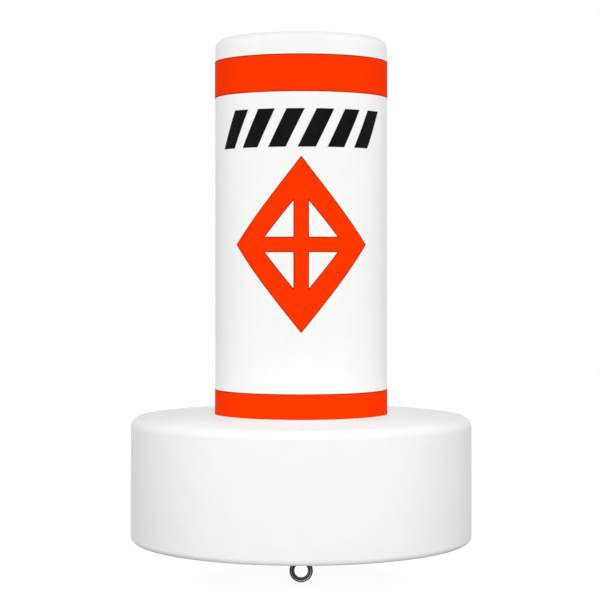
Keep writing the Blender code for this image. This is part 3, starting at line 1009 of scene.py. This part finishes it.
@dataclass
class Markings:
    """The tapes on the column: two bands, and a diamond below a row of bars on each side."""

    thickness: float = 0.0005
    gap: float = 0.0003
    edge: float = 0.00012
    rim: float = 0.0020
    diamond_half_width: float = 0.1445
    diamond_half_height: float = 0.1759
    diamond_border: float = 0.0447
    upper_draw: float = 0.0022
    lower_draw: float = 0.0007
    edge_steps: int = 8
    cross_width: float = 0.031
    row_length: float = 0.374
    bar_width: float = 0.036
    bar_slant: float = 0.038
    bar_count: int = 6
    overlap_length: float = 0.020
    overlap_thickness: float = 0.0003
    overlap_gap: float = 0.0001
    overlap_turn: float = math.radians(188.0)

    def __post_init__(self) -> None:
        """Read the column's radius from the frame."""
        self.column_radius = node_radius("column_shell")
        self.tape_radius = self.column_radius + self.gap

    def wrap(
        self,
        outlines: Sequence[Profile],
        height: float,
        turn: float,
        radius: float,
        thickness: float,
    ) -> BMesh:
        """Cut tape along flat outlines and wrap it on the column.

        Args:
            outlines: points (run, rise). The first is the tape's edge, the others are windows.
            height: the height at which rise is nought.
            turn: the angle from the front to the middle of the tape, in radians.
            radius: the radius of its inner face.
            thickness: its thickness.

        Returns:
            The wrapped tape.
        """
        bm = bmesh.new()
        edges = []
        for outline in outlines:
            verts = [bm.verts.new((run, 0.0, rise)) for run, rise in outline]
            edges += [bm.edges.new(pair) for pair in zip(verts, verts[1:] + verts[:1])]
        bmesh.ops.triangle_fill(bm, use_beauty=True, use_dissolve=False, edges=edges)
        self.mark_rim(bm)
        self.slit(bm, outlines[0])
        skin = bmesh.ops.extrude_face_region(bm, geom=bm.faces[:])
        outer = [item for item in skin["geom"] if isinstance(item, BMVert)]
        bmesh.ops.translate(bm, verts=outer, vec=(0.0, -thickness, 0.0))
        bmesh.ops.recalc_face_normals(bm, faces=bm.faces)
        self.round_rim(bm, thickness)
        self.lay_flat_map(bm)
        for vert in bm.verts:
            angle = turn + vert.co.x / self.column_radius
            reach = radius - vert.co.y
            vert.co = (reach * math.sin(angle), -reach * math.cos(angle), height + vert.co.z)
        return bm

    def mark_rim(self, bm: BMesh) -> None:
        """Set the rim of flat tape apart, as a layer that its finish reads to darken it.

        Args:
            bm: the mesh, which is changed in place.
        """
        rim = bm.faces.layers.float.new(RIM_LAYER)
        border = bmesh.ops.inset_region(
            bm, faces=bm.faces[:], thickness=self.rim, use_boundary=True, use_even_offset=True
        )
        for face in border["faces"]:
            face[rim] = 1.0

    def slit(self, bm: BMesh, outline: Profile) -> None:
        """Cut flat tape into strips that are as wide as the column's facets.

        Args:
            bm: the mesh, which is changed in place.
            outline: the tape's edge, which tells how long it is.
        """
        facet = FULL_TURN * self.column_radius / BODY_STEPS
        first = math.ceil(min(run for run, _ in outline) / facet)
        last = math.floor(max(run for run, _ in outline) / facet)
        for index in range(first, last + 1):
            slice_at(bm, (1.0, 0.0, 0.0), index * facet)

    def round_rim(self, bm: BMesh, thickness: float) -> None:
        """Round the outer rim of flat tape, which a knife and a squeegee leave a little soft.

        Args:
            bm: the mesh, which is changed in place.
            thickness: the tape's thickness.
        """
        rim = [
            edge
            for edge in bm.edges
            if edge.calc_face_angle(0.0) > SHARP_ANGLE
            and all(abs(vert.co.y + thickness) < WELD_DISTANCE for vert in edge.verts)
        ]
        bmesh.ops.bevel(
            bm,
            geom=rim,
            offset=self.edge,
            offset_type="OFFSET",
            affect="EDGES",
            segments=2,
            profile=0.5,
            material=-1,
            clamp_overlap=True,
        )

    @staticmethod
    def lay_flat_map(bm: BMesh) -> None:
        """Keep the flat tape's own run and rise, in metres, as its UV map.

        Args:
            bm: the mesh, which is changed in place.
        """
        flat = bm.loops.layers.uv.new(FLAT_LAYER)
        for face in bm.faces:
            for loop in face.loops:
                loop[flat].uv = (loop.vert.co.x, loop.vert.co.z)

    def diamond(self) -> list[Profile]:
        """The diamond's edge and the four windows that its border and its upright cross leave.

        Returns:
            The five outlines, with the edge first.
        """
        width, height = self.diamond_half_width, self.diamond_half_height
        edge_distance = width * height / math.hypot(width, height)
        inner_share = 1.0 - self.diamond_border / edge_distance
        inner_width, inner_height = inner_share * width, inner_share * height
        bar = self.cross_width / 2
        reach = inner_width * (1.0 - bar / inner_height)
        rise = inner_height * (1.0 - bar / inner_width)
        right = [
            *self.drawn_edge((0.0, height), (width, 0.0), self.upper_draw),
            *self.drawn_edge((width, 0.0), (0.0, -height), self.lower_draw),
            (0.0, -height),
        ]
        left = [(-across, up) for across, up in reversed(right[1:-1])]
        outlines = [right + left]
        for side in (1.0, -1.0):
            for end in (1.0, -1.0):
                corner = (side * bar, end * bar)
                outlines.append([corner, (side * reach, end * bar), (side * bar, end * rise)])
        return outlines

    def drawn_edge(self, start: Point, end: Point, draw: float) -> Profile:
        """One edge of the diamond, drawn in at its middle so that it looks straight when wrapped.

        Args:
            start: the corner that it begins at.
            end: the corner that it runs to, which is left out.
            draw: how far its middle is drawn in, towards the diamond's centre.

        Returns:
            The points from start on.
        """
        run, rise = end[0] - start[0], end[1] - start[1]
        length = math.hypot(run, rise)
        shares = [step / self.edge_steps for step in range(self.edge_steps)]
        sags = [4.0 * draw * share * (1.0 - share) / length for share in shares]
        return [
            (start[0] + share * run + sag * rise, start[1] + share * rise - sag * run)
            for share, sag in zip(shares, sags)
        ]

    def bar(self, index: int, height: float) -> Profile:
        """One slanted bar of the row, which is centred on the front.

        Args:
            index: the bar's place in the row, from nought.
            height: how tall it is.

        Returns:
            Its outline.
        """
        pitch = (self.row_length - self.bar_width - self.bar_slant) / (self.bar_count - 1)
        foot = index * pitch - self.row_length / 2
        head = foot + self.bar_slant
        return [
            (foot, 0.0),
            (foot + self.bar_width, 0.0),
            (head + self.bar_width, height),
            (head, height),
        ]

    def build_band(self, node: str) -> None:
        """Make one of the two bands, and the short end that overlaps its start at the back.

        Args:
            node: the node that the band stands for.
        """
        low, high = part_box(node)
        profile = rounded_plate(high.x, self.tape_radius, low.z, high.z, self.edge)
        band = turned(profile, BODY_STEPS)
        self.mark_round_rim(band, low.z + self.rim, high.z - self.rim)
        self.lay_round_map(band)
        self.show_tape(f"{node}_tape", band, node)
        overlap = [self.strip(self.overlap_length, high.z - low.z)]
        radius = self.tape_radius + self.thickness + self.overlap_gap
        end = self.wrap(overlap, low.z, self.overlap_turn, radius, self.overlap_thickness)
        self.show_tape(f"{node}_overlap", end)

    def mark_round_rim(self, bm: BMesh, bottom: float, top: float) -> None:
        """Set the rims of a turned band apart, below and above the heights given, for the finish to
        darken.

        Args:
            bm: the mesh, which is changed in place.
            bottom: the height at which the lower rim ends.
            top: the height at which the upper rim begins.
        """
        rim = bm.faces.layers.float.new(RIM_LAYER)
        for height in (bottom, top):
            slice_at(bm, (0.0, 0.0, 1.0), height)
        for face in bm.faces:
            face[rim] = float(not bottom < face.calc_center_median().z < top)

    def lay_round_map(self, bm: BMesh) -> None:
        """Keep a turned band's run round the column and its height, in metres, as its UV map.

        Args:
            bm: the mesh, which is changed in place.
        """
        flat = bm.loops.layers.uv.new(FLAT_LAYER)
        for face in bm.faces:
            middle = face.calc_center_median()
            start = math.atan2(middle.y, middle.x)
            for loop in face.loops:
                place = loop.vert.co
                turn = math.atan2(place.y, place.x) - start
                turn = start + (turn + math.pi) % FULL_TURN - math.pi
                loop[flat].uv = (turn * self.column_radius, place.z)

    @staticmethod
    def show_tape(name: str, bm: BMesh, *nodes: str) -> None:
        """Show tape, which sends light back to its lamp and so tints nothing beside it.

        Args:
            name: the piece's name.
            bm: its mesh. It is freed.
            nodes: the nodes that it stands for.
        """
        tape = show(name, bm, ORANGE_TAPE, *nodes)
        tape.visible_diffuse = False
        tape.visible_shadow = False

    @staticmethod
    def strip(length: float, height: float) -> Profile:
        """A straight strip, centred on its length."""
        half = length / 2
        return [(-half, 0.0), (half, 0.0), (half, height), (-half, height)]

    def build(self) -> None:
        """Make the bands, the diamonds and the bars."""
        for node in ("upper_band", "lower_band"):
            self.build_band(node)
        for side in Side:
            self.build_side(side)

    def build_side(self, side: Side) -> None:
        """Make the diamond and the row of bars on one side.

        Args:
            side: the side that is marked.
        """
        node = f"diamond_{side.word}"
        low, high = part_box(node)
        centre = (low.z + high.z) / 2
        tape = self.wrap(self.diamond(), centre, side.value, self.tape_radius, self.thickness)
        self.show_tape(f"{node}_tape", tape, node)
        for index in range(self.bar_count):
            node = f"mark_bar_{side.word}_{index + 1}"
            low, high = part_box(node)
            outline = [self.bar(index, high.z - low.z)]
            vinyl = self.wrap(outline, low.z, side.value, self.tape_radius, self.thickness)
            show(f"{node}_vinyl", vinyl, BLACK_VINYL, node)


@dataclass
class MooringEye:
    """The forged eye under the buoy, with its neck and its threaded shank."""

    hole_radius: float = 0.0139
    stock_diameter: float = 0.0105
    neck_length: float = 0.0116
    boss_radius: float = 0.0085
    shank_radius: float = 0.006
    end_chamfer: float = 0.001
    thread_pitch: float = 0.00175
    thread_depth: float = 0.00095
    rows_per_pitch: int = 10
    voxel: float = 0.00045
    smoothing: int = 6
    ring_steps: int = 96
    stock_steps: int = 32

    def __post_init__(self) -> None:
        """Read the shank's top from the frame, and work out the eye's heights."""
        self.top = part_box("mooring_eye")[1].z
        self.ring_radius = self.hole_radius + self.stock_diameter / 2
        self.outer_radius = self.hole_radius + self.stock_diameter
        self.thread_start = self.outer_radius + self.neck_length / 2

    def ring(self) -> BMesh:
        """The ring, round the Y axis.

        Returns:
            Its mesh, centred on the origin.
        """
        bm = bmesh.new()
        section = bmesh.ops.create_circle(
            bm, cap_ends=False, segments=self.stock_steps, radius=self.stock_diameter / 2
        )
        bmesh.ops.translate(bm, verts=section["verts"], vec=(self.ring_radius, 0.0, 0.0))
        return spun(bm, (0.0, 1.0, 0.0), self.ring_steps)

    def neck(self) -> BMesh:
        """The flared neck between the ring and the shank.

        Returns:
            Its mesh, from the middle of the ring's stock up to the thread.
        """
        profile = [
            (0.0, self.thread_start),
            (self.shank_radius, self.thread_start),
            (self.boss_radius, self.outer_radius + self.end_chamfer),
            (self.boss_radius, self.outer_radius - self.end_chamfer),
            (self.stock_diameter / 2, self.ring_radius),
            (0.0, self.ring_radius),
        ]
        return turned(profile, SMALL_STEPS)

    def forging(self) -> BMesh:
        """The ring and its neck, run into each other as in a forging die.

        Returns:
            The two in one mesh.
        """
        work = temporary(combined(self.ring(), self.neck(), Shape.JOIN))
        remesh = work.modifiers.new("die", "REMESH")
        remesh.mode = "VOXEL"
        remesh.voxel_size = self.voxel
        smooth = work.modifiers.new("tumbling", "SMOOTH")
        smooth.factor = 0.5
        smooth.iterations = self.smoothing
        return taken_from(work)

    def shank(self) -> BMesh:
        """The threaded shank, cut as a helix into a finely ringed bar.

        Returns:
            Its mesh, from just inside the neck up to the shank's top.
        """
        start = self.thread_start - self.end_chamfer
        row = self.thread_pitch / self.rows_per_pitch
        rows = math.ceil((self.top - self.end_chamfer - start) / row)
        body = [
            (self.shank_radius, start + (self.top - self.end_chamfer - start) * index / rows)
            for index in range(rows + 1)
        ]
        profile = [
            (0.0, start),
            *body,
            (self.shank_radius - self.end_chamfer, self.top),
            (0.0, self.top),
        ]
        bm = turned(profile, SMALL_STEPS)
        for vert in bm.verts:
            reach = math.hypot(vert.co.x, vert.co.y)
            if reach < self.shank_radius - self.end_chamfer / 2:
                continue
            angle = math.atan2(vert.co.y, vert.co.x) / FULL_TURN
            turns = (vert.co.z / self.thread_pitch - angle) % 1.0
            depth = self.thread_depth * (1.0 - abs(2.0 * turns - 1.0))
            vert.co.x *= 1.0 - depth / reach
            vert.co.y *= 1.0 - depth / reach
        return bm

    def build(self) -> None:
        """Make the eye in one piece with its shank."""
        eye = combined(self.forging(), self.shank(), Shape.JOIN)
        show("mooring_eye_forging", eye, DARK_FORGING, "mooring_eye")


@dataclass
class Fastenings:
    """The plate and gasket under the collar, and the nuts, washers and bolts that hold them."""

    nut_width: float = 0.019
    bolt_head_width: float = 0.017
    bolt_head_height: float = 0.0064
    bolt_radius: float = 0.005
    shank_radius: float = 0.006
    thread_gap: float = 0.0003
    hole_clearance: float = 0.0008
    plate_edge: float = 0.0012
    washer_edge: float = 0.0005
    hexagon_edge: float = 0.0003
    face_share: float = 0.97
    bolt_count: int = 4

    def hexagon(self, width: float, bottom: float, top: float) -> BMesh:
        """A hexagonal bar on the axis, with its corners turned off at both ends.

        Args:
            width: its width across the flats.
            bottom: the height of its lower end.
            top: the height of its upper end.

        Returns:
            Its mesh.
        """
        corner = width / math.sqrt(3.0)
        chamfer = corner - width / 2
        barrel = [
            (0.0, top),
            (width / 2 * self.face_share, top),
            (corner + chamfer, top - chamfer),
            (corner + chamfer, bottom + chamfer),
            (width / 2 * self.face_share, bottom),
            (0.0, bottom),
        ]
        blank = upright_bar(corner, bottom - chamfer, top + chamfer, steps=6)
        return combined(blank, turned(barrel, SMALL_STEPS), Shape.TRIM)

    def build_nut(self, node: str) -> None:
        """Make a nut on the eye's shank.

        Args:
            node: the node that the nut stands for.
        """
        low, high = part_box(node)
        height = high.z - low.z
        radius = self.shank_radius + self.thread_gap
        bore = upright_bar(radius, low.z - height, high.z + height, SMALL_STEPS)
        nut = combined(self.hexagon(self.nut_width, low.z, high.z), bore, Shape.CUT)
        show(f"{node}_hexagon", eased(nut, self.hexagon_edge), FASTENER_ZINC, node)

    def build_washer(self, node: str, hole: float) -> None:
        """Make a washer with the radius given for its hole.

        Args:
            node: the node that the washer stands for.
            hole: the radius of its hole.
        """
        low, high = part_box(node)
        profile = rounded_plate(node_radius(node), hole, low.z, high.z, self.washer_edge)
        washer = moved(turned(profile, SMALL_STEPS), *node_centre(node), 0.0)
        show(f"{node}_ring", washer, FASTENER_ZINC, node)

    def build_sheet(self, node: str, edge: float, finish: Finish) -> None:
        """Make the plate or the gasket, drilled for the bolts.

        Args:
            node: the node that the piece stands for.
            edge: the radius of its rounded edges.
            finish: what it is dressed in.
        """
        low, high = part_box(node)
        hole = self.shank_radius + self.hole_clearance
        sheet = turned(rounded_plate(high.x, hole, low.z, high.z, edge), PLATE_STEPS)
        reach = high.z - low.z
        for index in range(1, self.bolt_count + 1):
            drill = upright_bar(
                self.bolt_radius + self.hole_clearance,
                low.z - reach,
                high.z + reach,
                SMALL_STEPS,
                node_centre(f"plate_bolt_{index}"),
            )
            sheet = combined(sheet, drill, Shape.CUT)
        show(f"{node}_sheet", sheet, finish, node)

    def build_bolt(self, node: str) -> None:
        """Make a bolt, head down, in the place of a node of the frame.

        Args:
            node: the node that the bolt stands for.
        """
        low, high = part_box(node)
        centre = node_centre(node)
        head_top = low.z + self.bolt_head_height
        head = self.hexagon(self.bolt_head_width, low.z, head_top)
        # Half a facet of turn keeps the head's corners off the shank's
        half_facet = Matrix.Rotation(math.pi / SMALL_STEPS, 3, "Z")
        bmesh.ops.rotate(head, verts=head.verts, cent=(0.0, 0.0, 0.0), matrix=half_facet)
        head = moved(head, *centre, 0.0)
        sunk = (low.z + head_top) / 2
        shank = upright_bar(self.bolt_radius, sunk, high.z, SMALL_STEPS, centre)
        bolt = eased(combined(head, shank, Shape.JOIN), self.hexagon_edge)
        show(f"{node}_hexagon", bolt, FASTENER_ZINC, node)

    def build(self) -> None:
        """Make the plate, the gasket and everything that holds them."""
        self.build_sheet("base_plate", self.plate_edge, PLATE_ZINC)
        self.build_sheet("base_gasket", self.washer_edge, RUBBER)
        self.build_washer("eye_washer", self.shank_radius + self.hole_clearance)
        for node in ("lock_nut", "clamp_nut"):
            self.build_nut(node)
        for index in range(1, self.bolt_count + 1):
            self.build_bolt(f"plate_bolt_{index}")
            self.build_washer(f"plate_washer_{index}", self.bolt_radius + self.hole_clearance)
        dress_nodes(FASTENER_ZINC, "anchor_nut")
        dress_nodes(PLATE_ZINC, "anchor_plate")


@dataclass(frozen=True)
class Lamp:
    """A square soft lamp, placed by its turn from the front and its height above the horizon."""

    name: str
    turn: float
    rise: float
    power: float
    glossy: bool = True
    size: float = 2.4
    reach: float = 4.6

    def hang(self, target: Vector) -> None:
        """Hang the lamp at its reach from a point, facing it.

        Args:
            target: the point that the lamp faces.
        """
        turn, rise = math.radians(self.turn), math.radians(self.rise)
        level = math.cos(rise)
        way = Vector((level * math.sin(turn), -level * math.cos(turn), math.sin(rise)))
        data = bpy.data.lights.new(self.name, "AREA")
        data.shape = "SQUARE"
        data.size = self.size
        data.energy = self.power
        lamp = placed(self.name, data)
        lamp.location = target + self.reach * way
        lamp.rotation_euler = way.to_track_quat("Z", "Y").to_euler()
        lamp.visible_camera = False
        lamp.visible_glossy = self.glossy


LAMPS = (
    Lamp("front", 0.0, 5.0, 39.0),
    Lamp("front_fill", 0.0, 12.0, 28.8, size=1.4, reach=2.6),
    Lamp("left", -90.0, 36.0, 72.0),
    Lamp("right", 90.0, 36.0, 79.0),
    Lamp("rear", 180.0, 12.0, 40.0, glossy=False),
)


@dataclass
class Studio:
    """A white studio: the photograph's camera, soft lamps and a floor that keeps the shadow."""

    image_size: int = 600
    focal_pixels: float = 1846.0
    axis_column: float = 301.15
    horizon_row: float = 263.05
    eye_height: float = 0.6376
    distance: float = 3.828
    sensor: float = 36.0
    ambient: float = 0.395
    lit_height: float = 0.5
    floor_size: float = 16.0
    floor_drop: float = 0.0003
    floor_glow: float = 0.88
    floor_shade: float = 0.30
    floor_tone: float = 0.45

    def build(self) -> None:
        """Set up the camera, the world, the lamps and the floor."""
        self.build_camera()
        self.build_world()
        for lamp in LAMPS:
            lamp.hang(Vector((0.0, 0.0, self.lit_height)))
        self.build_floor()
        bpy.context.scene.view_settings.view_transform = "Standard"

    def build_camera(self) -> None:
        """A level camera, shifted down so that the horizon lies where the photograph has it."""
        data = bpy.data.cameras.new("camera")
        data.sensor_width = self.sensor
        data.lens = self.focal_pixels * self.sensor / self.image_size
        data.shift_y = self.horizon_row / self.image_size - 0.5
        camera = placed("camera", data)
        aside = (self.image_size / 2 - self.axis_column) * self.distance / self.focal_pixels
        camera.location = (aside, -self.distance, self.eye_height)
        camera.rotation_euler = (math.pi / 2, 0.0, 0.0)
        bpy.context.scene.camera = camera

    def build_world(self) -> None:
        """Soft light from all round, seen as plain white by the camera and in reflections."""
        world = bpy.data.worlds.new("studio")
        world.use_nodes = True
        bpy.context.scene.world = world
        tree = world.node_tree
        background = tree.nodes["Background"]
        background.inputs["Color"].default_value = (1.0, 1.0, 1.0, 1.0)
        path = tree.nodes.new("ShaderNodeLightPath")
        seen = tree.nodes.new("ShaderNodeMath")
        seen.operation = "MAXIMUM"
        tree.links.new(path.outputs["Is Camera Ray"], seen.inputs[0])
        tree.links.new(path.outputs["Is Glossy Ray"], seen.inputs[1])
        level = tree.nodes.new("ShaderNodeMapRange")
        level.inputs["To Min"].default_value = self.ambient
        tree.links.new(seen.outputs["Value"], level.inputs["Value"])
        tree.links.new(level.outputs["Result"], background.inputs["Strength"])

    def build_floor(self) -> None:
        """Lay the floor at the mooring eye's lowest point."""
        bm = bmesh.new()
        bmesh.ops.create_grid(bm, x_segments=1, y_segments=1, size=self.floor_size / 2)
        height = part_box("mooring_eye")[0].z - self.floor_drop
        mesh = mesh_of("floor", moved(bm, 0.0, 0.0, height))
        mesh.materials.append(self.floor_material())
        placed("floor", mesh)

    def floor_material(self) -> Material:
        """White paper that glows for the camera, and still darkens a little in the shadow.

        Returns:
            The material.
        """
        graph = Graph("floor")
        tree = graph.tree
        tone = (self.floor_tone, self.floor_tone, self.floor_tone)
        graph.dress(base_color=tone, roughness=1.0, specular_ior_level=0.0)
        glow = graph.add("ShaderNodeEmission", {"Strength": self.floor_glow})
        shadow = graph.add("ShaderNodeBsdfDiffuse", {"Color": (*[self.floor_shade] * 3, 1.0)})
        shown = graph.add("ShaderNodeAddShader", {0: glow.outputs[0], 1: shadow.outputs[0]})
        path = graph.add("ShaderNodeLightPath", {})
        seen = graph.reckon("MAXIMUM", path.outputs["Is Camera Ray"], path.outputs["Is Glossy Ray"])
        shaders = {0: seen, 1: graph.shader.outputs[0], 2: shown.outputs[0]}
        mix = graph.add("ShaderNodeMixShader", shaders)
        tree.links.new(mix.outputs[0], tree.nodes["Material Output"].inputs["Surface"])
        return graph.material


def main() -> None:
    """Build the buoy's pieces in the order in which it is put together, then the studio."""
    logging.basicConfig(level=logging.INFO, format="%(name)s: %(message)s")
    for assembly in (Column(), Collar(), Markings(), MooringEye(), Fastenings(), Studio()):
        assembly.build()


if __name__ == "__main__":
    main()
